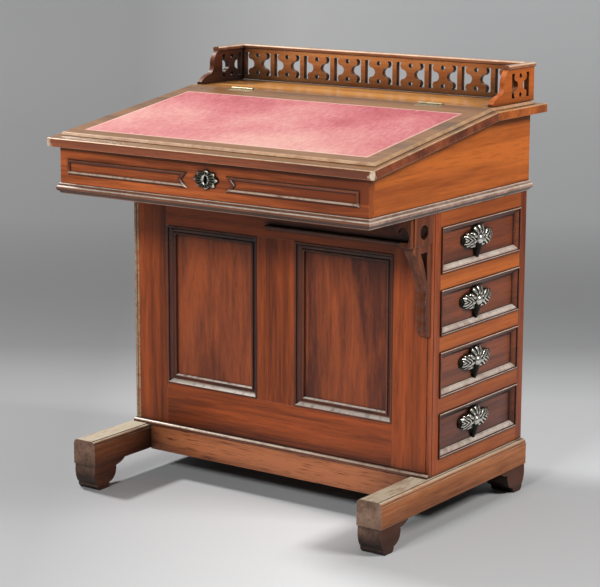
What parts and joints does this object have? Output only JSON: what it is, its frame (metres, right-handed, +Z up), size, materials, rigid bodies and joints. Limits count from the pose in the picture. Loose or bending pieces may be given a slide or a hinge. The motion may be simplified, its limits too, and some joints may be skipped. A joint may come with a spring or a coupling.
{
  "type": "davenport desk",
  "caption": "Davenport desk: sloping leather-lined hinged writing lid with pierced gallery, on a panelled pedestal with side drawers, sledge feet and an open knee space.",
  "frame": {"origin": "centre of the overall plan at floor level, on the soles of the feet", "axes": "+X to the sitter's right where the drawers open, +Y from the sitter to the back, +Z up"},
  "size_m": [0.76, 0.6232, 0.864],
  "materials": {
    "walnut": "polished, worn",
    "walnut_panel": "polished",
    "secondary_wood": "matt",
    "cast_pull": "dark patina with rubbed highlights",
    "leather": "worn skiver",
    "hinge_brass": "dull",
    "lock_steel": "dull"
  },
  "bodies": {
    "desk": {"apron_front": "walnut", "back_frame": "secondary_wood", "back_panels": "secondary_wood", "base_bead": "walnut", "box_back": "walnut", "box_base_moulding": "walnut", "box_bottom": "secondary_wood", "box_front": "walnut", "box_side_left": "walnut", "box_side_right": "walnut", "drawer_runner_bars": "secondary_wood", "dummy_fronts": "walnut_panel", "dummy_pulls": "cast_pull", "escutcheon": "cast_pull", "fascia_moulding": "walnut", "frieze_strip": "walnut", "front_feet": "walnut", "front_muntin": "walnut", "front_panels": "walnut_panel", "front_rails": "walnut", "gallery_back": "walnut", "gallery_cap": "walnut", "gallery_side_left": "walnut", "gallery_side_right": "walnut", "hinge_leaves_fixed": "hinge_brass", "ledge_top": "walnut", "lock_case": "lock_steel", "nest": "secondary_wood", "overhang_bracket": "walnut", "panel_mouldings": "walnut", "pedestal_floor_board": "secondary_wood", "post_front_left": "walnut", "post_front_right": "walnut", "rear_feet": "walnut", "rear_posts": "walnut", "runner_left": "walnut", "runner_right": "walnut", "side_rails": "walnut", "stretcher_rear": "secondary_wood"},
    "lid": {"lid_board": "walnut", "leather": "leather", "hinge_leaves_lid": "hinge_brass", "strike_plate": "lock_steel"},
    "drawer_1": {"drawer_1_front": "walnut_panel", "drawer_1_box": "secondary_wood", "drawer_1_pull": "cast_pull"},
    "drawer_2": {"drawer_2_front": "walnut_panel", "drawer_2_box": "secondary_wood", "drawer_2_pull": "cast_pull"},
    "drawer_3": {"drawer_3_front": "walnut_panel", "drawer_3_box": "secondary_wood", "drawer_3_pull": "cast_pull"},
    "drawer_4": {"drawer_4_front": "walnut_panel", "drawer_4_box": "secondary_wood", "drawer_4_pull": "cast_pull"},
    "nest_drawer_left": {"nest_drawer_left": "secondary_wood"},
    "nest_drawer_right": {"nest_drawer_right": "secondary_wood"},
    "lock_bolt": {"lock_bolt": "lock_steel"}
  },
  "joints": [
    {"name": "lid_hinge", "type": "hinge", "parent": "desk", "child": "lid", "pos_m": [0, 0.121, 0.789], "axis": [-1, 0, 0], "range_deg": [0, 100]},
    {"name": "drawer_1_slide", "type": "slide", "parent": "desk", "child": "drawer_1", "axis": [1, 0, 0], "range_m": [0, 0.45]},
    {"name": "drawer_2_slide", "type": "slide", "parent": "desk", "child": "drawer_2", "axis": [1, 0, 0], "range_m": [0, 0.45]},
    {"name": "drawer_3_slide", "type": "slide", "parent": "desk", "child": "drawer_3", "axis": [1, 0, 0], "range_m": [0, 0.45]},
    {"name": "drawer_4_slide", "type": "slide", "parent": "desk", "child": "drawer_4", "axis": [1, 0, 0], "range_m": [0, 0.45]},
    {"name": "nest_drawer_left_slide", "type": "slide", "parent": "desk", "child": "nest_drawer_left", "axis": [0, -1, 0], "range_m": [0, 0.1]},
    {"name": "nest_drawer_right_slide", "type": "slide", "parent": "desk", "child": "nest_drawer_right", "axis": [0, -1, 0], "range_m": [0, 0.1]},
    {"name": "lock_bolt_slide", "type": "slide", "parent": "desk", "child": "lock_bolt", "axis": [0, 0, 1], "range_m": [0, 0.008]}
  ]
}
